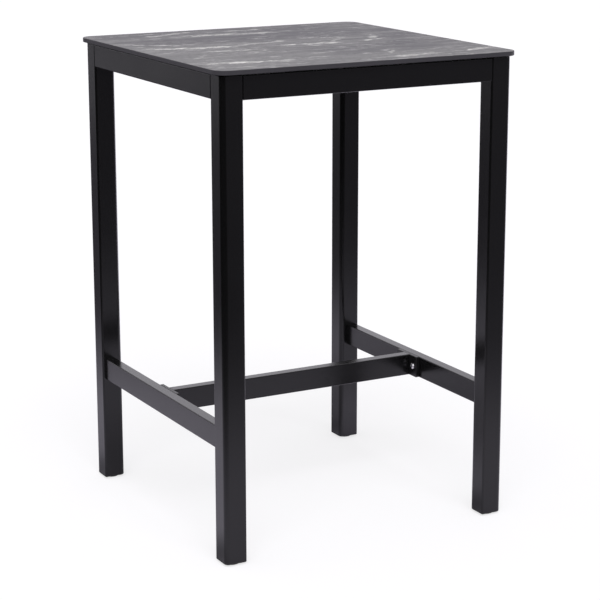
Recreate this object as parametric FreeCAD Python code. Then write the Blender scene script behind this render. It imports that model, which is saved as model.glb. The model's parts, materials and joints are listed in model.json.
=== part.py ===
import FreeCAD, Part
import math
import os

# Square bar-height table, millimetres. Z is up, the origin is on the floor under the middle of the top.
# X runs left to right, Y runs front to back. The left and right sides carry the low rails.

# Table top
table_height = 1050.0
top_side = 720.0
top_thickness = 10.0
top_corner_radius = 30.0
top_edge_round = 1.2
top_overhang = 12.0
top_shadow_gap = 3.0

# Legs: square extrusion with two well rounded corners on the table's diagonal
leg_side = 50.0
leg_wall = 2.0
leg_diagonal_radius = 10.5
leg_side_radius = 4.0

# Aprons, flush with the outside of the legs
apron_width = 25.0
apron_height = 50.0

# Side rails and cross rail
rail_width = 25.0
rail_height = 50.0
rail_underside = 248.0
rail_inset = 7.0
cross_rail_width = 25.0
cross_rail_height = 50.0

# Wall and edge rounding of every rectangular tube
tube_wall = 2.0
tube_corner_radius = 2.0

# Flanged bracket at each end of the cross rail
flange_length = 86.0
flange_thickness = 8.0
flange_edge_round = 1.2
spigot_length = 40.0
spigot_wall = 4.0
spigot_clearance = 0.2

# Bracket bolts, one in each wing of a flange
bracket_bolt_radius = 4.0
bracket_bolt_head_radius = 7.0
bracket_bolt_head_height = 4.4
bracket_bolt_key = 5.0
bracket_bolt_length = 22.0

# Rivet nuts in the inner wall of the side rails
rivet_body_radius = 5.5
rivet_flange_radius = 7.5
rivet_flange_thickness = 1.5
rivet_bulge_radius = 6.8
rivet_bulge_length = 4.0
rivet_length = 16.0

# Screws that hold the cross rail on the spigots
spigot_screw_radius = 3.0
spigot_screw_head_radius = 5.25
spigot_screw_head_height = 3.3
spigot_screw_key = 4.0
spigot_screw_setback = 22.0

# Corner plates: bent plate with a wing on each apron and a web across the leg's inner corner
plate_thickness = 3.0
plate_height = 36.0
plate_wing = 42.0
plate_web_gap = 4.0
plate_bend_radius = 2.0
plate_screw_spacing = 20.0
plate_screw_from_end = 12.0

# Leg bolts through the web, with washers, into a tapped bar inside the leg
leg_bolt_radius = 4.0
leg_bolt_flats = 13.0
leg_bolt_head_height = 5.3
leg_bolt_length = 20.0
leg_bolt_spacing = 18.0
leg_washer_radius = 8.0
leg_washer_thickness = 1.6
nut_bar_length = 36.0

# Tapping screws that hold the plates and the tabs on the aprons
tapping_screw_radius = 2.4
tapping_screw_head_radius = 4.75
tapping_screw_head_height = 3.2
tapping_screw_length = 13.0
tapping_screw_recess_radius = 1.6
tapping_screw_recess_depth = 1.8

# Angle tabs that carry the top
tab_length = 44.0
tab_drop = 26.0
tab_reach = 26.0
tab_thickness = 3.0
tab_offset = 150.0
tab_screw_spacing = 24.0

# Screws, washers and blind inserts between the tabs and the top
top_screw_radius = 3.0
top_screw_head_radius = 5.25
top_screw_head_height = 3.3
top_screw_key = 4.0
top_screw_length = 9.0
top_washer_radius = 6.25
top_washer_thickness = 1.6
insert_radius = 5.0
insert_depth = 7.0

# Levelling feet: pad, turning stem with a captive head, plastic plug with a nut
pad_radius = 17.0
pad_thickness = 3.6
pad_floor = 1.0
pad_lower_round = 1.0
pad_upper_round = 0.5
stem_radius = 4.0
stem_length = 46.0
stem_head_radius = 7.0
stem_head_height = 1.6
foot_stop_gap = 0.4
plug_flange_thickness = 4.0
plug_flange_round = 2.6
plug_depth = 28.0
plug_wall = 3.0
plug_floor = 5.0
plug_boss_radius = 11.0
foot_nut_flats = 13.0
foot_nut_height = 6.5

# Fits
running_clearance = 0.05
thread_clearance = 0.05
hole_clearance = 0.4
plug_clearance = 0.15
nut_bar_clearance = 0.1
nut_pocket_clearance = 0.1
insert_clearance = 0.05

# Places that several pieces share
top_underside = table_height - top_thickness
frame_top = top_underside - top_shadow_gap
frame_outer = top_side / 2 - top_overhang
frame_inner = frame_outer - leg_side
leg_axis = frame_outer - leg_side / 2
apron_inner = frame_outer - apron_width
apron_underside = frame_top - apron_height
apron_middle = apron_underside + apron_height / 2
rail_outer_face = frame_outer - rail_inset
rail_inner_face = rail_outer_face - rail_width
rail_middle = rail_underside + rail_height / 2
flange_face = rail_inner_face - flange_thickness
wing_length = (flange_length - cross_rail_width) / 2
bracket_bolt_y = cross_rail_width / 2 + wing_length / 2
plug_underside = pad_thickness + foot_stop_gap
leg_underside = plug_underside + plug_flange_thickness
tab_screw_level = top_underside - tab_drop / 2 - tab_thickness / 2
top_screw_place = apron_inner - tab_thickness - (tab_reach - tab_thickness) / 2
corner_arc_centre = frame_inner + leg_diagonal_radius

CORNERS = {"back_right": 0, "back_left": 90, "front_left": 180, "front_right": 270}
SIDES = {"right": 0, "back": 90, "left": 180, "front": 270}
UP = FreeCAD.Vector(0, 0, 1)
DOWN = FreeCAD.Vector(0, 0, -1)
INWARD_X = FreeCAD.Vector(-1, 0, 0)
TO_MIDDLE = FreeCAD.Vector(-1, -1, 0).normalize()


def vector(x, y, z=0.0):
    return FreeCAD.Vector(x, y, z)


def turned(shape, degrees):
    """Copy of a shape turned about the table's middle axis."""
    copy = shape.copy()
    copy.rotate(vector(0, 0), UP, degrees)
    return copy


def placed(shape, position, direction):
    """Copy of a shape modelled on Z, with its Z turned to a direction and its origin moved to a position."""
    copy = shape.copy()
    copy.Placement = FreeCAD.Placement(position, FreeCAD.Rotation(UP, direction))
    return copy


def rounded_outline(corners):
    """Closed wire round a convex list of (x, y, radius) corners, each turned by an arc of its radius."""
    stretches = []
    for i, (x, y, radius) in enumerate(corners):
        here = vector(x, y)
        before = (vector(*corners[i - 1][:2]) - here).normalize()
        after = (vector(*corners[(i + 1) % len(corners)][:2]) - here).normalize()
        half = before.getAngle(after) / 2
        setback = radius / math.tan(half)
        bisector = (before + after).normalize()
        middle = here + bisector * (radius / math.sin(half) - radius)
        stretches.append((here + before * setback, middle, here + after * setback))
    edges = []
    for i, (start, middle, end) in enumerate(stretches):
        following = stretches[(i + 1) % len(stretches)][0]
        edges.append(Part.Arc(start, middle, end).toShape())
        edges.append(Part.LineSegment(end, following).toShape())
    return Part.Wire(edges)


def prism(outline, level, height):
    """Solid of a flat outline, standing on a level."""
    solid = Part.Face(outline).extrude(vector(0, 0, height))
    solid.translate(vector(0, 0, level))
    return solid


def rectangle(half_x, half_y, radius):
    """Rounded rectangle centred on the origin."""
    signs = [(1, 1), (-1, 1), (-1, -1), (1, -1)]
    return rounded_outline([(half_x * sx, half_y * sy, radius) for sx, sy in signs])


def hexagon(flats):
    """Six-sided outline of a given width across flats."""
    reach = flats / math.sqrt(3)
    angles = [math.radians(60 * i) for i in range(6)]
    return Part.makePolygon([vector(reach * math.cos(a), reach * math.sin(a)) for a in angles + angles[:1]])


def tube_along_y(width, height, length):
    """Rectangular tube on the Y axis, open at both ends, with its middle at the origin."""
    outer = rectangle(width / 2, height / 2, tube_corner_radius)
    bore_radius = max(tube_corner_radius - tube_wall, tube_corner_radius / 10)
    bore = rectangle(width / 2 - tube_wall, height / 2 - tube_wall, bore_radius)
    tube = prism(outer, -length / 2, length).cut(prism(bore, -length / 2, length))
    tube.rotate(vector(0, 0), vector(1, 0), 90)
    return tube


def drilled(shape, radius, start, direction, depth):
    """Shape with a round hole from a start point along a direction."""
    return shape.cut(Part.makeCylinder(radius, depth, start, direction))


def leg_outline(inset):
    """Leg section about its own axis, drawn in by an inset: two diagonal corners are round, two are tight."""
    half = leg_side / 2 - inset
    large = max(leg_diagonal_radius - inset, leg_diagonal_radius / 10)
    small = max(leg_side_radius - inset, leg_side_radius / 10)
    diagonal = [(half, half, large), (-half, -half, large)]
    sides = [(-half, half, small), (half, -half, small)]
    return rounded_outline([diagonal[0], sides[0], diagonal[1], sides[1]])


def at_leg(shape):
    """Shape modelled on the Z axis, moved to the back right leg."""
    shape.translate(vector(leg_axis, leg_axis))
    return shape


def button_screw(radius, head_radius, head_height, key, length):
    """Dome-headed screw: shank below the origin, head above it with a hexagon socket."""
    rim = head_height / 5
    crown = head_radius / 2
    bulge = vector(head_radius * 0.85, 0, head_height * 0.72)
    edges = [
        Part.LineSegment(vector(0, 0), vector(head_radius, 0)),
        Part.LineSegment(vector(head_radius, 0), vector(head_radius, 0, rim)),
        Part.Arc(vector(head_radius, 0, rim), bulge, vector(crown, 0, head_height)),
        Part.LineSegment(vector(crown, 0, head_height), vector(0, 0, head_height)),
        Part.LineSegment(vector(0, 0, head_height), vector(0, 0)),
    ]
    profile = Part.Face(Part.Wire([edge.toShape() for edge in edges]))
    head = profile.revolve(vector(0, 0), UP, 360)
    socket = prism(hexagon(key), head_height / 2, head_height)
    shank = Part.makeCylinder(radius, length, vector(0, 0), DOWN)
    return head.cut(socket).fuse(shank).removeSplitter()


def hex_bolt():
    """Hexagon-headed leg bolt: shank below the origin, head above it."""
    head = prism(hexagon(leg_bolt_flats), 0, leg_bolt_head_height)
    shank = Part.makeCylinder(leg_bolt_radius, leg_bolt_length, vector(0, 0), DOWN)
    return head.fuse(shank)


def tapping_screw():
    """Pan-headed tapping screw: shank below the origin, head above it with a round drive recess."""
    head = Part.makeCylinder(tapping_screw_head_radius, tapping_screw_head_height)
    crown = [edge for edge in head.Edges if abs(edge.BoundBox.ZMin - tapping_screw_head_height) < 1e-6]
    head = head.makeFillet(tapping_screw_head_height / 2, crown)
    middle_of_crown = vector(0, 0, tapping_screw_head_height)
    head = drilled(head, tapping_screw_recess_radius, middle_of_crown, DOWN, tapping_screw_recess_depth)
    shank = Part.makeCylinder(tapping_screw_radius, tapping_screw_length, vector(0, 0), DOWN)
    return head.fuse(shank)


def washer(radius, hole_radius, thickness):
    """Flat washer standing on the origin."""
    return drilled(Part.makeCylinder(radius, thickness), hole_radius, vector(0, 0), UP, thickness)


def top_screw_points():
    """Where the tabs of the right side are screwed up into the top."""
    return [vector(top_screw_place, y, top_underside) for y in (-tab_offset, tab_offset)]


def tab_screw_points():
    """Where the tabs of the right side are screwed to the apron."""
    offsets = [tab + half * tab_screw_spacing / 2 for tab in (-tab_offset, tab_offset) for half in (-1, 1)]
    return [vector(apron_inner - tab_thickness, y, tab_screw_level) for y in offsets]


def plate_corner_y():
    """Where the plate's outer web face meets the right apron's inner face."""
    leg_corner = corner_arc_centre - leg_diagonal_radius / math.sqrt(2)
    return 2 * leg_corner - plate_web_gap * math.sqrt(2) - apron_inner


def plate_screw_points():
    """Where the back right plate is screwed to the right apron."""
    y = plate_corner_y() - plate_wing + plate_screw_from_end
    levels = [apron_middle + half * plate_screw_spacing / 2 for half in (-1, 1)]
    return [vector(apron_inner - plate_thickness, y, z) for z in levels]


def mirrored_in_diagonal(point):
    """The same point with X and Y exchanged: the other wing of the plate."""
    return vector(point.y, point.x, point.z)


def web_bolt_points():
    """Where the leg bolts go through the inner face of the back right plate's web."""
    half_sum = (apron_inner + plate_corner_y()) / 2 - plate_thickness / math.sqrt(2)
    levels = [apron_middle + half * leg_bolt_spacing / 2 for half in (-1, 1)]
    return [vector(half_sum, half_sum, z) for z in levels]


def make_top():
    """Board with rounded corners, eased edges and blind holes for the inserts."""
    board = prism(rectangle(top_side / 2, top_side / 2, top_corner_radius), top_underside, top_thickness)
    flat = [e for e in board.Edges if e.BoundBox.ZLength < 1e-6]
    board = board.makeFillet(top_edge_round, flat)
    for degrees in SIDES.values():
        for point in top_screw_points():
            hole = Part.makeCylinder(insert_radius + insert_clearance, insert_depth, point, UP)
            board = board.cut(turned(hole, degrees))
    return board


def make_leg():
    """Back right leg: hollow extrusion with the two leg-bolt holes in its inner corner."""
    height = frame_top - leg_underside
    bore = prism(leg_outline(leg_wall), leg_underside, height)
    leg = at_leg(prism(leg_outline(0), leg_underside, height).cut(bore))
    for point in web_bolt_points():
        start = vector(corner_arc_centre, corner_arc_centre, point.z)
        leg = drilled(leg, leg_bolt_radius + hole_clearance, start, TO_MIDDLE, leg_diagonal_radius * 2)
    return leg


def make_nut_bar():
    """Tapped half-round bar that lies in the inner corner of the back right leg."""
    radius = leg_diagonal_radius - leg_wall - nut_bar_clearance
    base = vector(corner_arc_centre, corner_arc_centre, apron_middle - nut_bar_length / 2)
    bar = Part.makeCylinder(radius, nut_bar_length, base, UP, 180)
    bar.rotate(base, UP, 135)
    for point in web_bolt_points():
        start = vector(corner_arc_centre, corner_arc_centre, point.z)
        bar = drilled(bar, leg_bolt_radius + thread_clearance, start, TO_MIDDLE, radius * 2)
    return bar


def make_apron():
    """Right apron: tube between two legs, with the screw holes of its plates and tabs."""
    apron = tube_along_y(apron_width, apron_height, 2 * frame_inner)
    apron.translate(vector(apron_inner + apron_width / 2, 0, apron_middle))
    plate_points = plate_screw_points() + [vector(p.x, -p.y, p.z) for p in plate_screw_points()]
    for point in plate_points + tab_screw_points():
        start = vector(apron_inner - tube_wall / 2, point.y, point.z)
        apron = drilled(apron, tapping_screw_radius + thread_clearance, start, vector(1, 0), 2 * tube_wall)
    return apron


def make_corner_plate():
    """Back right plate: a wing on each apron and a web square to the diagonal, bent from one strip."""
    y = plate_corner_y()
    inner_x = apron_inner - plate_thickness
    inner_y = y + apron_inner - plate_thickness * math.sqrt(2) - inner_x
    half = [(apron_inner, y - plate_wing), (apron_inner, y)]
    inner_half = [(inner_x, inner_y), (inner_x, y - plate_wing)]
    other = [(b, a) for a, b in reversed(half)]
    inner_other = [(b, a) for a, b in reversed(inner_half)]
    ring = [vector(a, b) for a, b in half + other + inner_other + inner_half]
    plate = prism(Part.makePolygon(ring + ring[:1]), apron_middle - plate_height / 2, plate_height)
    bends = [(half[1], plate_bend_radius + plate_thickness), (inner_half[0], plate_bend_radius)]
    for (a, b), radius in bends:
        plate = plate.makeFillet(radius, upright_edges(plate, [(a, b), (b, a)]))
    for point in plate_screw_points() + [mirrored_in_diagonal(p) for p in plate_screw_points()]:
        across = vector(1, 0) if point.x > point.y else vector(0, 1)
        start = point - across * plate_thickness
        plate = drilled(plate, tapping_screw_radius + hole_clearance, start, across, 3 * plate_thickness)
    for point in web_bolt_points():
        start = point + TO_MIDDLE * plate_thickness
        plate = drilled(plate, leg_bolt_radius + hole_clearance, start, -TO_MIDDLE, 3 * plate_thickness)
    return plate


def upright_edges(shape, points):
    """Edges parallel to Z that stand on any of the (x, y) points."""
    found = []
    for edge in shape.Edges:
        middle = edge.BoundBox.Center
        level = edge.BoundBox.XLength < 1e-6 and edge.BoundBox.YLength < 1e-6
        if level and any(math.hypot(middle.x - x, middle.y - y) < 1e-6 for x, y in points):
            found.append(edge)
    return found


def make_tabs():
    """Right side's two angle tabs, on the apron's inner face and under the top."""
    tabs = []
    for y, screw in zip((-tab_offset, tab_offset), top_screw_points()):
        end = y - tab_length / 2
        flat_place = vector(apron_inner - tab_reach, end, top_underside - tab_thickness)
        flat = Part.makeBox(tab_reach, tab_length, tab_thickness, flat_place)
        upright_place = vector(apron_inner - tab_thickness, end, top_underside - tab_drop)
        tab = flat.fuse(Part.makeBox(tab_thickness, tab_length, tab_drop, upright_place)).removeSplitter()
        tab = drilled(tab, top_screw_radius + hole_clearance, screw, DOWN, tab_thickness)
        for point in tab_screw_points():
            if abs(point.y - y) < tab_length / 2:
                tab = drilled(tab, tapping_screw_radius + hole_clearance, point, vector(1, 0), tab_thickness)
        tabs.append(tab)
    return tabs


def make_side_rail():
    """Right side rail between the front and back legs, with the rivet-nut holes in its inner wall."""
    rail = tube_along_y(rail_width, rail_height, 2 * frame_inner)
    rail.translate(vector(rail_inner_face + rail_width / 2, 0, rail_middle))
    for y in (-bracket_bolt_y, bracket_bolt_y):
        start = vector(rail_inner_face - tube_wall / 2, y, rail_middle)
        rail = drilled(rail, rivet_body_radius + thread_clearance, start, vector(1, 0), 2 * tube_wall)
    return rail


def make_cross_rail():
    """Tube between the two flanges, with a screw hole near each end of its underside."""
    tube = tube_along_y(cross_rail_width, cross_rail_height, 2 * flange_face)
    tube.rotate(vector(0, 0), UP, 90)
    tube.translate(vector(0, 0, rail_middle))
    point = spigot_screw_point()
    for x in (-point.x, point.x):
        start = vector(x, 0, point.z - tube_wall)
        tube = drilled(tube, spigot_screw_radius + hole_clearance, start, UP, 3 * tube_wall)
    return tube


def spigot_screw_point():
    """Where the right spigot is screwed through the cross rail's underside."""
    return vector(flange_face - spigot_screw_setback, 0, rail_middle - cross_rail_height / 2)


def make_bracket():
    """Right bracket: flange on the side rail and a hollow spigot that fills the cross rail's end."""
    flange = prism(rectangle(rail_height / 2, flange_length / 2, tube_corner_radius), 0, flange_thickness)
    front = [e for e in flange.Edges if abs(e.BoundBox.ZMin - flange_thickness) < 1e-6]
    flange = flange.makeFillet(flange_edge_round, front)
    half_y = cross_rail_width / 2 - tube_wall - spigot_clearance
    half_z = cross_rail_height / 2 - tube_wall - spigot_clearance
    spigot_outline = rectangle(half_z, half_y, tube_corner_radius)
    hollow_outline = rectangle(half_z - spigot_wall, half_y - spigot_wall, tube_corner_radius)
    spigot = prism(spigot_outline, 0, flange_thickness + spigot_length)
    bracket = flange.fuse(spigot).cut(prism(hollow_outline, flange_thickness, spigot_length))
    bracket = placed(bracket, vector(rail_inner_face, 0, rail_middle), INWARD_X)
    for y in (-bracket_bolt_y, bracket_bolt_y):
        seat = vector(rail_inner_face, y, rail_middle)
        bracket = drilled(bracket, bracket_bolt_radius + hole_clearance, seat, INWARD_X, flange_thickness)
        pocket_depth = rivet_flange_thickness + hole_clearance / 4
        bracket = drilled(bracket, rivet_flange_radius + hole_clearance, seat, INWARD_X, pocket_depth)
    tap_depth = tube_wall + spigot_clearance + spigot_wall
    return drilled(bracket, spigot_screw_radius + thread_clearance, spigot_screw_point(), UP, tap_depth)


def make_rivet_nut():
    """Rivet nut on Z: flange above the origin, body and bulge below it, threaded through."""
    flange = Part.makeCylinder(rivet_flange_radius, rivet_flange_thickness)
    body = Part.makeCylinder(rivet_body_radius, rivet_length, vector(0, 0), DOWN)
    bulge = Part.makeCylinder(rivet_bulge_radius, rivet_bulge_length, vector(0, 0, -tube_wall), DOWN)
    nut = flange.fuse([body, bulge]).removeSplitter()
    bore_length = rivet_flange_thickness + rivet_length
    return drilled(nut, bracket_bolt_radius + thread_clearance, vector(0, 0, -rivet_length), UP, bore_length)


def make_insert():
    """Blind threaded insert on Z, standing on the origin and closed at its top."""
    insert = Part.makeCylinder(insert_radius, insert_depth)
    bore_depth = top_screw_length - tab_thickness - top_washer_thickness + hole_clearance
    return drilled(insert, top_screw_radius + thread_clearance, vector(0, 0), UP, bore_depth)


def make_foot_plug():
    """Plug in the foot of a leg: flange under the tube, skirt inside it, central boss with a nut pocket."""
    flange = prism(leg_outline(0), plug_underside, plug_flange_thickness)
    lower = [e for e in flange.Edges if e.BoundBox.ZMax < plug_underside + 1e-6]
    flange = flange.makeFillet(plug_flange_round, lower)
    skirt_inset = leg_wall + plug_clearance
    skirt = prism(leg_outline(skirt_inset), leg_underside, plug_depth)
    hollow = prism(leg_outline(skirt_inset + plug_wall), leg_underside + plug_floor, plug_depth)
    boss = Part.makeCylinder(plug_boss_radius, plug_depth, vector(0, 0, leg_underside))
    plug = flange.fuse(skirt).cut(hollow).fuse(boss).removeSplitter()
    nut_level = leg_underside + plug_depth - foot_nut_height
    plug = plug.cut(prism(hexagon(foot_nut_flats + 2 * nut_pocket_clearance), nut_level, foot_nut_height))
    bore_length = plug_flange_thickness + plug_depth
    return drilled(plug, stem_radius + hole_clearance, vector(0, 0, plug_underside), UP, bore_length)


def make_foot_nut():
    """Hexagon nut in the plug's pocket, a running fit on the stem."""
    nut_level = leg_underside + plug_depth - foot_nut_height
    nut = prism(hexagon(foot_nut_flats), nut_level, foot_nut_height)
    return drilled(nut, stem_radius + running_clearance, vector(0, 0, nut_level), UP, foot_nut_height)


def make_foot_stem():
    """Stem with a disc head that turns in the pad."""
    level = pad_floor + running_clearance
    head = Part.makeCylinder(stem_head_radius, stem_head_height, vector(0, 0, level))
    shank = Part.makeCylinder(stem_radius, stem_length, vector(0, 0, level))
    return head.fuse(shank).removeSplitter()


def make_foot_pad():
    """Round glide on the floor, with a pocket that keeps the stem's head."""
    pad = Part.makeCylinder(pad_radius, pad_thickness)
    lower = [e for e in pad.Edges if e.BoundBox.ZMax < 1e-6]
    pad = pad.makeFillet(pad_lower_round, lower)
    upper = [e for e in pad.Edges if e.BoundBox.ZMin > pad_thickness - 1e-6]
    pad = pad.makeFillet(pad_upper_round, upper)
    pocket_height = stem_head_height + 2 * running_clearance
    pad = drilled(pad, stem_head_radius + running_clearance, vector(0, 0, pad_floor), UP, pocket_height)
    return drilled(pad, stem_radius + running_clearance, vector(0, 0, pad_floor), UP, pad_thickness)


def export(name, shapes):
    """Writes one node; a list of shapes becomes a group of separate solids."""
    whole = shapes if isinstance(shapes, Part.Shape) else Part.makeCompound(shapes)
    sound = whole.isValid() and all(solid.Volume > 0 for solid in whole.Solids)
    print(f"{name}: {len(whole.Solids)} solids, {whole.Volume / 1000:.1f} cm3, valid {sound}")
    whole.exportStep(f"parts/{name}.step")


def export_corner_pieces():
    """Everything that stands at each corner, made once at the back right and turned to the others."""
    pieces = {
        "leg": make_leg(),
        "leg_nut_bar": make_nut_bar(),
        "corner_plate": make_corner_plate(),
        "foot_plug": at_leg(make_foot_plug()),
        "foot_stem": at_leg(make_foot_stem()),
        "foot_pad": at_leg(make_foot_pad()),
    }
    for corner, degrees in CORNERS.items():
        for name, shape in pieces.items():
            export(f"{name}_{corner}", turned(shape, degrees))


def export_side_pieces():
    """The apron and its two tabs on each side, made once on the right and turned to the others."""
    apron = make_apron()
    tabs = make_tabs()
    for side, degrees in SIDES.items():
        export(f"apron_{side}", turned(apron, degrees))
        export(f"fixing_tabs_{side}", [turned(tab, degrees) for tab in tabs])


def export_rails():
    """The two side rails, the cross rail and its brackets."""
    for side, degrees in (("right", 0), ("left", 180)):
        export(f"side_rail_{side}", turned(make_side_rail(), degrees))
        export(f"cross_rail_bracket_{side}", turned(make_bracket(), degrees))
    export("cross_rail", make_cross_rail())


def at_every_turn(shapes, degrees):
    """Copies of the shapes at each of the turns."""
    return [turned(shape, turn) for turn in degrees for shape in shapes]


def export_fasteners():
    """Screws, bolts, washers, nuts and inserts, each kind a group of separate solids."""
    quarter_turns = list(CORNERS.values())
    half_turns = (0, 180)
    right_wing = [placed(tapping_screw(), p, INWARD_X) for p in plate_screw_points()]
    back_points = [mirrored_in_diagonal(p) for p in plate_screw_points()]
    back_wing = [placed(tapping_screw(), p, vector(0, -1)) for p in back_points]
    export("corner_plate_screws", at_every_turn(right_wing + back_wing, quarter_turns))
    tab_screws = [placed(tapping_screw(), p, INWARD_X) for p in tab_screw_points()]
    export("tab_screws", at_every_turn(tab_screws, quarter_turns))

    leg_washer = washer(leg_washer_radius, leg_bolt_radius + hole_clearance, leg_washer_thickness)
    leg_washers = [placed(leg_washer, p, TO_MIDDLE) for p in web_bolt_points()]
    export("leg_bolt_washers", at_every_turn(leg_washers, quarter_turns))
    seats = [p + TO_MIDDLE * leg_washer_thickness for p in web_bolt_points()]
    export("leg_bolts", at_every_turn([placed(hex_bolt(), p, TO_MIDDLE) for p in seats], quarter_turns))

    top_screw = button_screw(
        top_screw_radius, top_screw_head_radius, top_screw_head_height, top_screw_key, top_screw_length)
    top_washer = washer(top_washer_radius, top_screw_radius + hole_clearance, top_washer_thickness)
    washer_seats = [p + DOWN * tab_thickness for p in top_screw_points()]
    screw_seats = [p + DOWN * top_washer_thickness for p in washer_seats]
    export("top_washers", at_every_turn([placed(top_washer, p, DOWN) for p in washer_seats], quarter_turns))
    export("top_screws", at_every_turn([placed(top_screw, p, DOWN) for p in screw_seats], quarter_turns))
    inserts = [placed(make_insert(), p, UP) for p in top_screw_points()]
    export("top_inserts", at_every_turn(inserts, quarter_turns))

    bracket_bolt = button_screw(
        bracket_bolt_radius, bracket_bolt_head_radius, bracket_bolt_head_height,
        bracket_bolt_key, bracket_bolt_length)
    bolt_sides = (-bracket_bolt_y, bracket_bolt_y)
    bolts = [placed(bracket_bolt, vector(flange_face, y, rail_middle), INWARD_X) for y in bolt_sides]
    export("bracket_bolts", at_every_turn(bolts, half_turns))
    rivets = [placed(make_rivet_nut(), vector(rail_inner_face, y, rail_middle), INWARD_X) for y in bolt_sides]
    export("rail_rivet_nuts", at_every_turn(rivets, half_turns))

    spigot_screw_length = tube_wall + spigot_clearance + spigot_wall
    spigot_screw = button_screw(
        spigot_screw_radius, spigot_screw_head_radius, spigot_screw_head_height,
        spigot_screw_key, spigot_screw_length)
    export("spigot_screws", at_every_turn([placed(spigot_screw, spigot_screw_point(), DOWN)], half_turns))
    export("foot_nuts", at_every_turn([at_leg(make_foot_nut())], quarter_turns))


os.makedirs("parts", exist_ok=True)
export("table_top", make_top())
export_corner_pieces()
export_side_pieces()
export_rails()
export_fasteners()
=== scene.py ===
# %% [markdown]
# # A pub table, dressed in Blender
# The table arrives as a packed model: every tube, bolt and foot is already a solid in its real place.
# Blender's work here is the finish. Most pieces keep their shape and get a material worked out from
# nodes, and a few small forms that a solid model leaves plain are added as surfaces of their own:
# the screw thread of the levelling feet and the weld beads under the rails.

# %% Load the packed table
import json
import math
import bpy
import numpy as np
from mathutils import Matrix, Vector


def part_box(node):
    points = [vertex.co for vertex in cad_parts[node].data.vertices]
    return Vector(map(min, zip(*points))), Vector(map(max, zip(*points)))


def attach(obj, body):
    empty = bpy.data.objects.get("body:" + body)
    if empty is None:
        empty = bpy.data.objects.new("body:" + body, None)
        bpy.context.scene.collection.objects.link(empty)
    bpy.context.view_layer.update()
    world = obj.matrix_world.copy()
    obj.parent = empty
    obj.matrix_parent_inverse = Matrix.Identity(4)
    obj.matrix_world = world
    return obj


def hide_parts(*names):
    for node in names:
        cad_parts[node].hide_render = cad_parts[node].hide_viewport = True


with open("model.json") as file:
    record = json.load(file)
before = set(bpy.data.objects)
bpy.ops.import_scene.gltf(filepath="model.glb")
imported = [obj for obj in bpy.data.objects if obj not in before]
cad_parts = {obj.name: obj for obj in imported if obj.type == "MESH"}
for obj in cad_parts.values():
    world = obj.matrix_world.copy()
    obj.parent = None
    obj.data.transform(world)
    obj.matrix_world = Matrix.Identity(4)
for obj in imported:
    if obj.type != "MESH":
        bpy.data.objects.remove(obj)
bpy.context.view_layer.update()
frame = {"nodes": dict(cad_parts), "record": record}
nodes = frame["nodes"]

# %% [markdown]
# ## Writing shader maths as Python
# A finish is a small calculation over the surface: a noise here, a mask there, and a mix of two
# colours. Wiring that by hand takes dozens of lines, so one class wraps a socket and lets ordinary
# arithmetic add the Math nodes. Everything else goes through one method, which sets a node's own
# settings first, because some of them change which sockets the node has.

# %% A socket that arithmetic can be written on
class Wire:
    """One output socket in a node tree; operators on it add Math nodes, node() adds any other node."""

    def __init__(self, tree, socket=None):
        self.tree = tree
        self.socket = socket

    def node(self, kind, settings, sockets, out=0):
        """Adds a node: its settings first, then a value or a link for each named or numbered socket."""
        made = self.tree.nodes.new(kind)
        for name, value in settings.items():
            setattr(made, name, value)
        for name, value in sockets.items():
            if isinstance(value, Wire):
                self.tree.links.new(value.socket, made.inputs[name])
            else:
                made.inputs[name].default_value = value
        return Wire(self.tree, made.outputs[out])

    def math(self, operation, *values):
        """One Math node on these wires and numbers."""
        return self.node("ShaderNodeMath", {"operation": operation}, dict(enumerate(values)))

    def __add__(self, other):
        return self.math("ADD", self, other)

    def __sub__(self, other):
        return self.math("SUBTRACT", self, other)

    def __rsub__(self, other):
        return self.math("SUBTRACT", other, self)

    def __mul__(self, other):
        return self.math("MULTIPLY", self, other)

    def __abs__(self):
        return self.math("ABSOLUTE", self)

    __radd__ = __add__
    __rmul__ = __mul__

    def between(self, low, high):
        """0 below low, 1 above high and a smooth step from one to the other."""
        settings = {"interpolation_type": "SMOOTHSTEP"}
        return self.node("ShaderNodeMapRange", settings, {0: self, 1: low, 2: high, 3: 0.0, 4: 1.0})

    def mix(self, first, second):
        """The first colour where this value is 0 and the second where it is 1."""
        return self.node("ShaderNodeMix", {"data_type": "RGBA"}, {0: self, 6: first, 7: second}, out=2)

    def vector(self, operation, *others, out="Vector"):
        """One Vector Math node on this place and the others."""
        sockets = dict(enumerate((self, *others)))
        return self.node("ShaderNodeVectorMath", {"operation": operation}, sockets, out)

    def axis(self, letter):
        """One coordinate of this place: X, Y or Z."""
        return self.node("ShaderNodeSeparateXYZ", {}, {0: self}, letter)


print("a wire can:", [name for name in vars(Wire) if not name.startswith("__")])

# %% [markdown]
# ## Starting a finish
# Every finish starts the same way: a Principled shader, and the Object coordinates of the piece. All
# pieces lie at the origin with their place in the mesh, so Object coordinates are metres on the real
# table, and a noise of scale 1000 has grains of about a millimetre.

# %% New finish, noise, bump and greys
def start_finish(name, **values):
    """New material: returns it, its shader node and a wire on the piece's own coordinates in metres."""
    material = bpy.data.materials.new(name)
    material.use_nodes = True
    tree = material.node_tree
    shader = tree.nodes["Principled BSDF"]
    for socket, value in values.items():
        shader.inputs[socket.replace("_", " ")].default_value = value
    place = Wire(tree).node("ShaderNodeTexCoord", {}, {}, "Object")
    return material, shader, place


def feed(shader, **links):
    """Links wires to the shader's sockets."""
    for socket, wire in links.items():
        wire.tree.links.new(wire.socket, shader.inputs[socket.replace("_", " ")])


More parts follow.
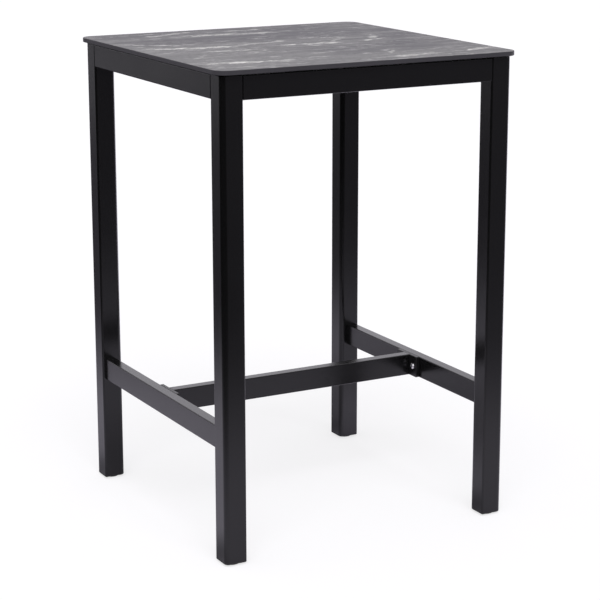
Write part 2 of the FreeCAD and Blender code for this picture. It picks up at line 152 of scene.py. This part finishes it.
def grain(place, stretch, detail=2.0, rough=0.5, offset=(0.0, 0.0, 0.0)):
    """Noise from 0 to 1 whose grains per metre along X, Y and Z are the stretch."""
    moved = place.node("ShaderNodeMapping", {}, {"Vector": place, "Location": offset, "Scale": stretch})
    sockets = {"Vector": moved, "Scale": 1.0, "Detail": detail, "Roughness": rough}
    return place.node("ShaderNodeTexNoise", {}, sockets)


def even(grains):
    """The same number of grains per metre along all three axes."""
    return (grains, grains, grains)


def bump(height, depth):
    """Surface relief: a height from 0 to 1 stands for a depth in metres."""
    return height.node("ShaderNodeBump", {}, {"Strength": 1.0, "Distance": depth, "Height": height})


def grey(level, red=0.0, blue=0.0):
    """Grey of a linear level, with a share more or less of red and of blue."""
    return (level * (1 + red), level, level * (1 + blue), 1.0)


def violet_grey(level, tint=0.1):
    """Grey with more blue than green by the tint, and more red by about a third of it."""
    red_part = 0.35
    return grey(level, red_part * tint, tint)


print("finishes read object coordinates in metres")

# %% [markdown]
# ## Black powder coat
# The frame is powder coated: a black plastic skin baked onto aluminium. It is not a flat black. The
# powder melts into a very fine orange peel, which breaks up every reflection a little, and handling
# leaves cloudy patches that are slightly shinier or duller. Grey paint would be the wrong way to get
# the pale faces in the photograph: they come from the coat's gloss, so the base stays nearly black.

# %% Powder coat for the frame
def powder_coat(name, level, roughness):
    """Nearly black coat with a cloudy gloss and a millimetre orange peel."""
    peel_depth = 0.00004
    material, shader, place = start_finish(name, IOR=1.45)
    clouds = grain(place, even(9.0), detail=3.0)
    specks = grain(place, even(620.0), detail=1.0)
    peel = grain(place, even(950.0))
    tone = clouds * 0.6 + specks * 0.4
    feed(shader, Base_Color=tone.mix(grey(level * 0.7), grey(level * 1.3)))
    feed(shader, Roughness=roughness - 0.04 + clouds * 0.08)
    feed(shader, Normal=bump(peel, peel_depth))
    return material


coat = powder_coat("powder_coat_black", 0.0036, 0.22)
cast_coat = powder_coat("powder_coat_bracket", 0.0040, 0.36)
print("powder coats:", coat.name, cast_coat.name)

# %% [markdown]
# ## The top: compact laminate with a streaked stone print
# The board is layers of paper pressed hard in resin: a dark core and a printed face. The print copies
# dark grey stone with pale veins that run along the table, wander and break off. Noise alone scatters
# the veins evenly, and a real slab does not: a few strong veins carry the picture. So each strong vein
# is a gentle curve with a place, a length and a width, listed one by one, and noise only frays it. The
# same form, much wider and softer, gives the darker areas between the veins.

# %% One vein of the stone
def stone_vein(x, y, middle, half_length, half_width, strength, slope=0.0, bend=0.0):
    """Mask of one vein: distance in Y from a parabola through its middle point, faded at both ends."""
    full_width = 0.25 * half_width
    full_length = 0.55 * half_length
    along = x - middle[0]
    line = middle[1] + along * slope + along * along * bend
    across = 1.0 - abs(y - line).between(full_width, half_width)
    ends = 1.0 - abs(along).between(full_length, half_length)
    return across * ends * strength


# Each row: middle (x, y), half length and half width in metres, strength, slope and any bend.
veins = [
    ((-0.165, 0.295), 0.085, 0.013, 0.65, 0.38),
    ((0.030, 0.300), 0.055, 0.012, 0.70, -0.10),
    ((-0.035, 0.236), 0.135, 0.014, 1.00, -0.10),
    ((-0.292, 0.123), 0.075, 0.012, 0.60, -0.61),
    ((-0.230, 0.022), 0.120, 0.018, 1.00, -0.20, 1.0),
    ((-0.055, 0.040), 0.080, 0.011, 0.70, 0.28),
    ((0.030, -0.022), 0.090, 0.015, 0.95, -0.08),
    ((0.124, 0.022), 0.035, 0.012, 0.40, 0.90),
    ((0.228, 0.036), 0.030, 0.022, 0.70, 1.50),
    ((0.198, -0.012), 0.030, 0.012, 0.75, 0.40),
    ((0.120, 0.078), 0.065, 0.010, 0.60, -0.42),
    ((-0.170, -0.058), 0.085, 0.012, 0.55, -0.09),
    ((-0.135, -0.095), 0.040, 0.009, 0.45, 0.50),
    ((-0.245, -0.255), 0.110, 0.020, 1.00, -0.15),
    ((0.135, -0.308), 0.070, 0.014, 0.75, 0.08),
    ((0.304, -0.281), 0.070, 0.009, 0.85, 0.40),
    ((0.116, -0.235), 0.020, 0.012, 0.70, 1.20),
    ((-0.030, -0.185), 0.040, 0.009, 0.35, 0.05),
    ((-0.285, -0.130), 0.030, 0.012, 0.45, 0.80),
]
shades = [
    ((-0.110, 0.150), 0.330, 0.095, 1.00, -0.06),
    ((0.125, -0.140), 0.190, 0.125, 1.00, 0.10),
    ((0.230, 0.210), 0.220, 0.160, 0.65),
    ((-0.150, 0.330), 0.260, 0.080, 0.70, 0.05),
]
print("veins:", len(veins), "longest", 2 * max(vein[1] for vein in veins), "m, shades:", len(shades))

# %% [markdown]
# ## Between the veins
# The ground of the stone has three scales: broad pale and dark areas as wide as a hand, streaks as long
# as a finger, and fibres as fine as hair. Each is a noise pulled out long in X and laid over a slow sway,
# so that no line is quite straight. Colours go on in the order of a painter, from the broad ground to the
# white of the veins, each through the mask of its own noise.

# %% Streaked stone print
def strongest(x, y, forms):
    """The largest of the masks of several veins at each place."""
    masks = [stone_vein(x, y, *form) for form in forms]
    largest = masks[0]
    for mask in masks[1:]:
        largest = largest.math("MAXIMUM", largest, mask)
    return largest


def sway(place):
    """The place moved along Y by a slow noise, by up to half the reach either way."""
    reach = 0.05
    drift = grain(place, (5.0, 9.0, 1.0), detail=3.0, rough=0.55)
    shift = drift.node("ShaderNodeCombineXYZ", {}, {"Y": (drift - 0.5) * reach})
    return place.vector("ADD", shift)


def stone_print(place):
    """Colour of the printed face, and the masks of its streaks, fibres and veins for gloss and relief."""
    slate, ash = violet_grey(0.052, 0.10), grey(0.155, 0.0, -0.05)
    pale_streak = grey(0.220, 0.0, -0.05)
    fibre_shade, speck_shade = violet_grey(0.050), violet_grey(0.034)
    hair_white, vein_white = grey(0.46, 0.0, -0.06), grey(0.80, 0.0, -0.08)
    fray_reach = 0.060

    swayed = sway(place)
    streaks = grain(swayed, (4.5, 38.0, 1.0), detail=4.0, rough=0.6)
    fibres = grain(swayed, (11.0, 260.0, 1.0), detail=3.0, rough=0.6, offset=(3.1, 7.7, 0.0))
    flecks = grain(swayed, (34.0, 70.0, 1.0), detail=4.0, rough=0.65, offset=(5.5, 2.2, 0.0))
    specks = grain(swayed, (110.0, 55.0, 1.0), detail=3.0, rough=0.6, offset=(2.4, 6.3, 0.0))
    hairs = grain(swayed, (3.2, 24.0, 1.0), detail=3.0, offset=(1.7, 12.4, 0.0))
    fray = grain(place, (22.0, 50.0, 1.0), detail=5.0, rough=0.7, offset=(9.2, 4.1, 0.0))

    x = place.axis("X")
    y = place.axis("Y")
    frayed_y = y + (fray - 0.5) * fray_reach
    strong = strongest(x, frayed_y, veins) * (0.15 + flecks.between(0.42, 0.60) * 0.85)
    shade = strongest(x, frayed_y, shades)
    hair = (1.0 - abs(hairs - 0.5).between(0.006, 0.045)) * flecks.between(0.46, 0.62)
    broad = (0.60 - x * 0.6 - y + (streaks - 0.5) * 0.8 - shade * 0.35).between(0.1, 0.9)

    colour = broad.mix(slate, ash)
    colour = (streaks.between(0.42, 0.66) * (1.0 - shade * 0.6)).mix(colour, pale_streak)
    colour = (fibres.between(0.35, 0.65) * 0.40).mix(colour, fibre_shade)
    colour = (specks.between(0.50, 0.70) * 0.45).mix(colour, speck_shade)
    colour = (hair * 0.60).mix(colour, hair_white)
    colour = strong.mix(colour, vein_white)
    return colour, streaks, fibres, strong


print("stone print: seven colours over six noises")

# %% [markdown]
# ## Face, core and backing of the board
# The print is only a skin. At the eased edge it ends, and the dark core shows, a little uneven where the
# layers of paper were cut. The underside has a black backing, which turns up over the lower round. It is
# almost without gloss: a glossy one would mirror the bright room into the narrow gap above the aprons.

# %% Laminate board
def stone_laminate(name, back_level, face_level):
    """Printed face at face_level on Z, black backing at back_level, dark core between them."""
    skin = 0.0001
    print_reach = 0.0006
    backing_reach = 0.0012
    relief = 0.00005
    material, shader, place = start_finish(name, IOR=1.3)
    printed, streaks, fibres, strong = stone_print(place)
    height = place.axis("Z")
    face = height.between(face_level - print_reach, face_level - skin)
    core = fibres.mix(violet_grey(0.039), violet_grey(0.055))
    backing = 1.0 - height.between(back_level + skin, back_level + backing_reach)
    backed = backing.mix(core, grey(0.006))
    feed(shader, Base_Color=face.mix(backed, printed))
    feed(shader, Roughness=0.46 + streaks * 0.08 + strong * 0.05 + backing * 0.40)
    feed(shader, Normal=bump(fibres * 0.6 + streaks * 0.4, relief))
    return material


top_low, top_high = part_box("table_top")
laminate = stone_laminate("laminate_streaked_stone", top_low[2], top_high[2])
print("laminate face at", round(top_high[2], 4), "m")

# %% [markdown]
# ## Metals and plastics of the small parts
# Bolts, nuts and plates are bright but never mirror clean: zinc plating is cloudy and bluish, bent
# plate keeps the marks of the rolling mill, brass is turned and stainless heads are polished. One
# function covers them, with a mill direction that stretches the noise. The plastic of the feet is
# black polyamide, dull, with a fine spark-eroded skin.

# %% Metal and plastic finishes
def worked_metal(name, dark, bright, roughness, mill):
    """Metal between two colours, with cloudy tone and fine marks stretched along the mill direction."""
    mark_depth = 0.00003
    material, shader, place = start_finish(name, Metallic=1.0)
    clouds = grain(place, even(140.0), detail=3.0)
    marks = grain(place, mill)
    feed(shader, Base_Color=(clouds * 0.6 + marks * 0.4).mix(dark, bright))
    feed(shader, Roughness=roughness - 0.08 + marks * 0.16)
    feed(shader, Normal=bump(marks, mark_depth))
    return material


def moulded_plastic(name, level, roughness):
    """Black plastic with a fine moulded skin and faint cloudy wear."""
    skin_depth = 0.00004
    material, shader, place = start_finish(name, IOR=1.5)
    skin = grain(place, even(1500.0), detail=1.0)
    wear = grain(place, even(60.0), detail=3.0)
    feed(shader, Base_Color=wear.mix(grey(level * 0.7), grey(level * 1.5)))
    feed(shader, Roughness=roughness + wear * 0.12)
    feed(shader, Normal=bump(skin, skin_depth))
    return material


def zinc(level, tint=0.03):
    """Bluish grey of zinc plating: more blue than green by the tint, and less red by the same."""
    return grey(level, -tint, tint)


fine = even(1200.0)
rolled = (300.0, 300.0, 2000.0)
drawn = (900.0, 900.0, 60.0)
turned = (200.0, 200.0, 3000.0)
brass_dark = (0.46, 0.29, 0.09, 1.0)
brass_bright = (0.68, 0.47, 0.18, 1.0)
finishes = {
    "frame_coat": coat,
    "bracket_coat": cast_coat,
    "top_laminate": laminate,
    "bright_steel": worked_metal("stainless_polished", grey(0.50), grey(0.72), 0.26, fine),
    "zinc_bolt": worked_metal("zinc_plating_bolt", zinc(0.38), zinc(0.58), 0.38, fine),
    "zinc_screw": worked_metal("zinc_plating_screw", zinc(0.36), zinc(0.55), 0.40, fine),
    "bar_steel": worked_metal("drawn_bar", grey(0.28), grey(0.42), 0.45, drawn),
    "plate_steel": worked_metal("rolled_plate", zinc(0.34, 0.02), zinc(0.52, 0.02), 0.42, rolled),
    "tab_aluminium": worked_metal("extruded_angle", grey(0.50), grey(0.66), 0.40, even(1600.0)),
    "insert_brass": worked_metal("turned_brass", brass_dark, brass_bright, 0.34, turned),
    "plug_plastic": moulded_plastic("polyamide_plug", 0.009, 0.46),
    "stem_steel": worked_metal("zinc_stem", zinc(0.36, 0.02), zinc(0.56, 0.02), 0.36, even(900.0)),
    "pad_plastic": moulded_plastic("polyamide_pad", 0.010, 0.50),
}
subparts = frame["record"]["subparts"]
for row in subparts:
    mesh = nodes[row["node"]].data
    mesh.materials.clear()
    mesh.materials.append(finishes[row["material_slot"]])
print("finishes:", len(finishes), "on", len(subparts), "nodes")

# %% [markdown]
# ## Putting a worked-out surface into a mesh
# A new piece is a grid of points: rings along a path, each ring a closed loop. Whole arrays hold the
# points, the faces come from the grid's own numbering, and the two ends are closed with one face each.

# %% Grid to piece
def ring_piece(name, x, y, z, slot, body):
    """Mesh of ring rows (first axis along the piece, second axis round it), closed at both ends."""
    rows, around = x.shape
    number = np.arange(rows * around).reshape(rows, around)
    beside = np.roll(number, -1, axis=1)
    quads = np.stack([number[:-1], beside[:-1], beside[1:], number[1:]], axis=-1).reshape(-1, 4)
    faces = quads.tolist() + [number[0, ::-1].tolist(), number[-1].tolist()]
    mesh = bpy.data.meshes.new(name)
    mesh.from_pydata(np.stack([x, y, z], axis=-1).reshape(-1, 3).tolist(), [], faces)
    mesh.materials.append(finishes[slot])
    piece = bpy.data.objects.new(name, mesh)
    bpy.context.scene.collection.objects.link(piece)
    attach(piece, body)
    return piece


print("ring_piece: grids to meshes")

# %% [markdown]
# ## Threaded stems of the levelling feet
# When a foot is screwed out, the stem shows between the leg and the pad, and a smooth pin would look
# wrong. A Screw modifier could sweep the tooth, but its ends are hard to close. Instead the stem is one
# turned profile, and in its threaded stretch the radius drops by a tooth that climbs once per turn.

# %% Stem with a real thread
def threaded_stem(corner):
    """Turned surface: radius is the profile's radius less a tooth. The tooth is a triangle wave of height
    over pitch less the angle in turns, so its crest climbs one pitch per turn, and it fades in over the
    first two pitches. A chamfer takes the far end down by as much as it rises."""
    pitch = 0.00125
    tooth = 0.00072
    rings_per_pitch = 10
    points_around = 40
    shank_radius = 0.004
    head_height = 0.0016
    head_edge = 0.0004
    end_radius = 0.001
    chamfer_height = 0.0012

    low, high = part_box(f"foot_stem_{corner}")
    centre_x = (low[0] + high[0]) / 2
    centre_y = (low[1] + high[1]) / 2
    head = (high[0] - low[0]) / 2
    head_top = low[2] + head_height
    head_z = np.array([low[2], low[2], low[2] + head_edge, head_top - head_edge, head_top, head_top])
    head_r = np.array([end_radius, head - head_edge, head, head, head - head_edge, shank_radius])
    climb = np.linspace(head_top, high[2], int((high[2] - head_top) / pitch * rings_per_pitch))
    z = np.concatenate([head_z, climb])[:, None]
    profile = np.concatenate([head_r, np.full(climb.size, shank_radius)])[:, None]

    turns = np.linspace(0.0, 1.0, points_around, endpoint=False)[None, :]
    wave = np.abs(2.0 * np.mod(z / pitch - turns, 1.0) - 1.0)
    fade = np.clip((z - head_top) / (2 * pitch), 0.0, 1.0)
    chamfer = np.clip(z - (high[2] - chamfer_height), 0.0, None)
    radius = profile - tooth * wave * fade - chamfer
    angle = 2.0 * math.pi * turns
    x = centre_x + radius * np.cos(angle)
    y = centre_y + radius * np.sin(angle)
    z = z + np.zeros_like(angle)
    piece = ring_piece(f"stem_thread_{corner}", x, y, z, "stem_steel", f"stem_{corner}")
    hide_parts(f"foot_stem_{corner}")
    return piece


corners = ["front_left", "front_right", "back_left", "back_right"]
stems = [threaded_stem(corner) for corner in corners]
print("stems:", len(stems), "faces each:", len(stems[0].data.polygons))

# %% [markdown]
# ## Weld beads under the rails
# The side rails are welded to the legs. On the faces that show, the joint is dressed flat, but underneath
# a bead stays. It is a small round profile carried along a straight path, swelling and shrinking a little
# once per dab of the torch.

# %% Beads where the rails meet the legs
def weld_bead(name, start, end):
    """Round rod from start to end whose radius ripples: mean radius plus a cosine of length over dab,
    drawn in at both ends by the square root of the distance from the end."""
    dab = 0.0028
    mean = 0.0016
    ripple = 0.00022
    least_taper = 0.05
    rings_per_dab = 8
    points_around = 14

    start = np.array(start)
    end = np.array(end)
    length = np.linalg.norm(end - start)
    along = (end - start) / length
    side = np.cross(along, (0.0, 1.0, 0.0))
    up = np.cross(side, along)
    s = np.linspace(0.0, length, int(length / dab * rings_per_dab))[:, None]
    angle = np.linspace(0.0, 2.0 * math.pi, points_around, endpoint=False)[None, :]
    taper = np.sqrt(np.clip(np.minimum(s, length - s) / mean, least_taper, 1.0))
    radius = (mean + ripple * np.cos(2.0 * math.pi * s / dab)) * taper
    x, y, z = (
        start[i] + along[i] * s + radius * (side[i] * np.cos(angle) + up[i] * np.sin(angle))
        for i in range(3)
    )
    return ring_piece(name, x, y, z, "frame_coat", "table")


bead_inset = 0.002
bead_drop = 0.0004
beads = []
for rail_side in ("left", "right"):
    low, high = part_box(f"side_rail_{rail_side}")
    inner, outer = (high[0], low[0]) if rail_side == "left" else (low[0], high[0])
    outward = math.copysign(bead_inset, outer)
    under = low[2] - bead_drop
    for end_name, y in (("front", low[1]), ("back", high[1])):
        name = f"weld_under_{rail_side}_{end_name}"
        beads.append(weld_bead(name, (inner + outward, y, under), (outer - outward, y, under)))
print("beads:", len(beads), "faces each:", len(beads[0].data.polygons))

# %% [markdown]
# ## What the studio looks like in the gloss
# The table stands on a plain white floor in soft light. To the camera the floor and the surroundings are
# white. But a black coat is a dark mirror, and it also shows a studio kept out of sight: a pool of light
# painted on the floor round the table, a white sweep to the right and behind, dim sides and a black front.
# A leg is pale at its foot, where it mirrors the painted pool, dark above, and blackest on its near
# rounded corner.
# So reflections see the floor and the walls by their direction from the table, and everything else sees
# plain white.

# %% Directions and dark sides of the studio
studio_white = violet_grey(0.97, 0.075)


def ray_kind(tree, kind):
    """1 for rays of one kind, such as Camera or Glossy."""
    return Wire(tree).node("ShaderNodeLightPath", {}, {}, f"Is {kind} Ray")


def mirrored(tree):
    """1 for what polished metal, coat and glass see."""
    glossy = ray_kind(tree, "Glossy")
    return glossy.math("MAXIMUM", glossy, ray_kind(tree, "Transmission"))


def distance(place, point):
    """Metres from a point."""
    return place.vector("DISTANCE", point, out="Value")


def towards(place, direction):
    """How far a place lies towards a level direction: 1 straight that way, 0 across it, -1 opposite."""
    level = place.vector("MULTIPLY", (1.0, 1.0, 0.0))
    return level.vector("NORMALIZE").vector("DOT_PRODUCT", direction, out="Value")


def studio_front(place):
    """Colour of the dark side of the studio: black in the direction that the table's near corner mirrors,
    else dim, and dimmer to the left than to the right."""
    corner_way = (-0.89, -0.45, 0.0)
    right_way = (0.48, -0.88, 0.0)
    dim_left, dim_right = violet_grey(0.15, 0.12), violet_grey(0.205, 0.10)
    dim = towards(place, right_way).between(-0.5, 0.5).mix(dim_left, dim_right)
    return towards(place, corner_way).between(0.09, 0.32).mix(dim, grey(0.012))


print("studio white:", [round(v, 3) for v in studio_white])

# %% [markdown]
# ## The floor
# The floor has three looks in one material. The camera sees white with a trace of ordinary diffuse
# white, which keeps the table's soft shadow. Reflections see a pool of light painted on the floor, where
# the table's real shadow is deepened by painted shade towards the back and painted shadows lie beside the
# feet, with a painted glow by the right legs and a bright sweep beyond. All other rays see plain matt
# white, so the light on the table stays even.

# %% White floor that keeps the shadow
def clear_of_painted_foot_shadow(place):
    """Mask of the painted shadow beside each foot: 0 on the floor just left of each foot, growing to 1
    away from it, by folding the floor over both axes so that the four feet fall on one."""
    shade_offset = (-0.06, 0.06, 0.0)
    shade_reach = 0.16
    low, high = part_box("foot_pad_back_right")
    foot = ((low[0] + high[0]) / 2, (low[1] + high[1]) / 2, 0.0)
    folded = place.vector("SUBTRACT", shade_offset).vector("ABSOLUTE")
    return distance(folded, foot).between(0.0, shade_reach)


def right_and_behind(place):
    """1 on the floor to the right of the table's middle and not far in front of it, else 0."""
    return place.axis("X").between(0.10, 0.50) * place.axis("Y").between(-0.55, -0.25)


def mirrored_floor(place, away, sweep):
    """Colour of the floor in reflections: a pool of light painted near the table, with painted shade
    towards the back and painted shadows beside the feet; further off the dark side of the studio, paler in
    one patch to the left and white in the sweep."""
    left_patch = (-4.6, 7.6, 0.0)
    painted_shadow_middle = (0.05, 0.50, 0.0)
    far = distance(place, left_patch).between(0.8, 3.6).mix(grey(0.57), studio_front(place))
    far = sweep.mix(far, studio_white)
    # Painted shade: the pool is darker round a point behind the table's middle, deepening the table's real
    # shadow.
    lit = distance(place, painted_shadow_middle).between(0.25, 0.80)
    pool = lit.mix(violet_grey(0.70, 0.08), violet_grey(0.98, 0.08))
    # Painted shadows: the pool darkens just left of each foot.
    pool = clear_of_painted_foot_shadow(place).mix(violet_grey(0.42, 0.08), pool)
    return away.between(0.80, 2.20).mix(pool, far)


def painted_glow_and_sweep(place, away, sweep):
    """Light that the floor adds in reflections: a painted glow in a soft spot by the right legs, and the
    sweep beyond.
    """
    by_right_legs = (0.42, 0.12, 0.0)
    # Painted glow: the floor shines faintly by the right legs in reflections.
    spot = distance(place, by_right_legs).between(0.10, 0.35).mix(violet_grey(0.60, 0.20), grey(0.0))
    return (sweep * away.between(0.60, 1.40)).mix(spot, violet_grey(1.20))


def white_floor():
    """Floor square: white to the camera, the studio's floor with painted light and shade in reflections,
    plain matt white for light.
    """
    half = 60.0
    pool_middle = (0.20, 0.08, 0.0)
    material = bpy.data.materials.new("floor_white")
    material.use_nodes = True
    tree = material.node_tree
    tree.nodes.clear()
    place = Wire(tree).node("ShaderNodeTexCoord", {}, {}, "Object")
    away = distance(place, pool_middle)
    sweep = right_and_behind(place)

    soft = place.node("ShaderNodeBsdfDiffuse", {}, {"Color": grey(0.32)})
    glow = place.node("ShaderNodeEmission", {}, {"Color": grey(1.0), "Strength": 0.72})
    seen = place.node("ShaderNodeAddShader", {}, {0: soft, 1: glow})
    painted = place.node("ShaderNodeBsdfDiffuse", {}, {"Color": mirrored_floor(place, away, sweep)})
    glow_and_sweep_shader = place.node("ShaderNodeEmission", {}, {"Color": painted_glow_and_sweep(place, away, sweep)})
    reflected = place.node("ShaderNodeAddShader", {}, {0: painted, 1: glow_and_sweep_shader})
    matt = place.node("ShaderNodeBsdfDiffuse", {}, {"Color": grey(0.8)})
    unseen = place.node("ShaderNodeMixShader", {}, {0: mirrored(tree), 1: matt, 2: reflected})
    look = place.node("ShaderNodeMixShader", {}, {0: ray_kind(tree, "Camera"), 1: unseen, 2: seen})
    output = tree.nodes.new("ShaderNodeOutputMaterial")
    tree.links.new(look.socket, output.inputs["Surface"])
    material.cycles.emission_sampling = "NONE"

    mesh = bpy.data.meshes.new("floor")
    square = [(-half, -half, 0), (half, -half, 0), (half, half, 0), (-half, half, 0)]
    mesh.from_pydata(square, [], [(0, 1, 2, 3)])
    mesh.materials.append(material)
    floor = bpy.data.objects.new("floor", mesh)
    bpy.context.scene.collection.objects.link(floor)
    return floor


floor = white_floor()
print("floor laid:", [round(v) for v in floor.dimensions], "m")

# %% [markdown]
# ## Walls and lamps
# The world does the same for the walls: white to the camera, the studio's sides in reflections, and a soft
# even level for lighting. Two broad lamps add the direction: a key from the front left and a fill from the
# left, both so wide that their shadows have no edge.

# %% Soft sky and two broad lamps
def white_surround(strength):
    """World: white to the camera; in reflections the studio's dark side low down, with a bright sweep
    behind and white above; for lighting, white of the given strength."""
    world = bpy.data.worlds.new("surround")
    world.use_nodes = True
    tree = world.node_tree
    background = tree.nodes["Background"]
    camera_ray = ray_kind(tree, "Camera")
    mirror_ray = mirrored(tree)
    direction = Wire(tree).node("ShaderNodeTexCoord", {}, {}, "Generated")
    sweep = towards(direction, (0.0, 1.0, 0.0)).between(0.66, 0.88)
    sides = sweep.mix(studio_front(direction), violet_grey(1.20, 0.075))
    walls = direction.axis("Z").between(0.12, 0.45).mix(sides, studio_white)
    colour = camera_ray.mix(mirror_ray.mix(studio_white, walls), grey(1.0))
    tree.links.new(colour.socket, background.inputs["Color"])
    level = strength + camera_ray.math("MAXIMUM", camera_ray, mirror_ray) * (1.0 - strength)
    tree.links.new(level.socket, background.inputs["Strength"])
    world.cycles.sampling_method = "NONE"
    bpy.context.scene.world = world


def broad_lamp(name, strength, spread, azimuth, elevation):
    """Sun lamp with a wide disc, shining from an azimuth (0 is the front, 90 the right) and elevation."""
    lamp = bpy.data.lights.new(name, "SUN")
    lamp.energy = strength
    lamp.angle = math.radians(spread)
    lamp.color = studio_white[:3]
    holder = bpy.data.objects.new(name, lamp)
    holder.rotation_euler = (math.radians(90 - elevation), 0.0, math.radians(azimuth))
    bpy.context.scene.collection.objects.link(holder)
    return holder


white_surround(strength=0.45)
lamps = [
    broad_lamp("key_lamp", strength=1.6, spread=45, azimuth=-20, elevation=55),
    broad_lamp("fill_lamp", strength=0.4, spread=70, azimuth=-90, elevation=60),
]
print("lamps:", [(lamp.name, round(lamp.data.energy, 2)) for lamp in lamps])

# %% [markdown]
# ## Camera
# The table's straight edges were measured in the photograph and a camera was fitted to them. The
# photograph was straightened so that its legs are parallel, which takes a large lens shift. The shift
# would spoil every other view, so the fitted camera has none and the legs draw together a little.

# %% Camera at the photograph's view
def photo_camera():
    """Camera with the fitted place, direction and lens; the lens is the fitted focal length in pixels
    times the sensor's width over the photograph's width in pixels."""
    frame_pixels = 600
    focal_pixels = 1933.4
    yaw, pitch, roll = (math.radians(angle) for angle in (28.546, -13.954, -0.063))
    data = bpy.data.cameras.new("photo_camera")
    data.sensor_width = 36.0
    data.lens = focal_pixels * data.sensor_width / frame_pixels
    holder = bpy.data.objects.new("photo_camera", data)
    holder.location = (-2.0358, -3.7774, 1.5311)
    holder.rotation_euler = (math.pi / 2 + pitch, 0.0, -yaw)
    holder.rotation_euler.rotate_axis("Z", roll)
    bpy.context.scene.collection.objects.link(holder)
    bpy.context.scene.camera = holder
    return holder


camera = photo_camera()
bpy.context.scene.view_settings.view_transform = "Standard"
print("camera at", [round(v, 3) for v in camera.location], "lens", round(camera.data.lens, 1))
